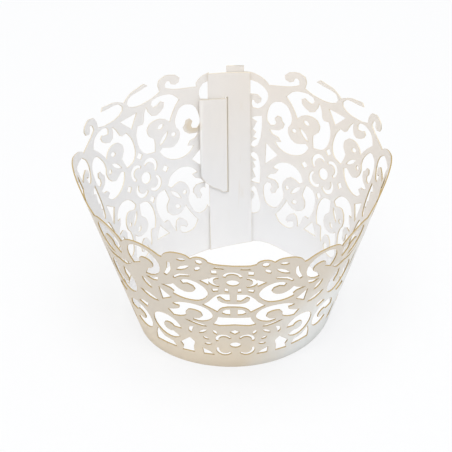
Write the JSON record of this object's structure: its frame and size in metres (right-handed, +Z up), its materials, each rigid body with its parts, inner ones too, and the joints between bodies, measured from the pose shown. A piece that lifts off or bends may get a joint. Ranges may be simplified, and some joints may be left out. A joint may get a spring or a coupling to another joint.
{
  "type": "cupcake wrapper",
  "caption": "Flared open wrapper of thin card cut as scroll lace, closed at the back by a tab through a slit, that stands round a cupcake.",
  "frame": {"origin": "centre of the bottom edge, on the cone's axis, at the surface the wrapper stands on", "axes": "+Z up along the cone's axis, -Y towards the front motif, +Y towards the seam with its tab"},
  "size_m": [0.0782, 0.0768, 0.0492],
  "materials": {
    "card": "pearl ivory card"
  },
  "bodies": {
    "root": {"wrapper": "card"}
  },
  "joints": []
}
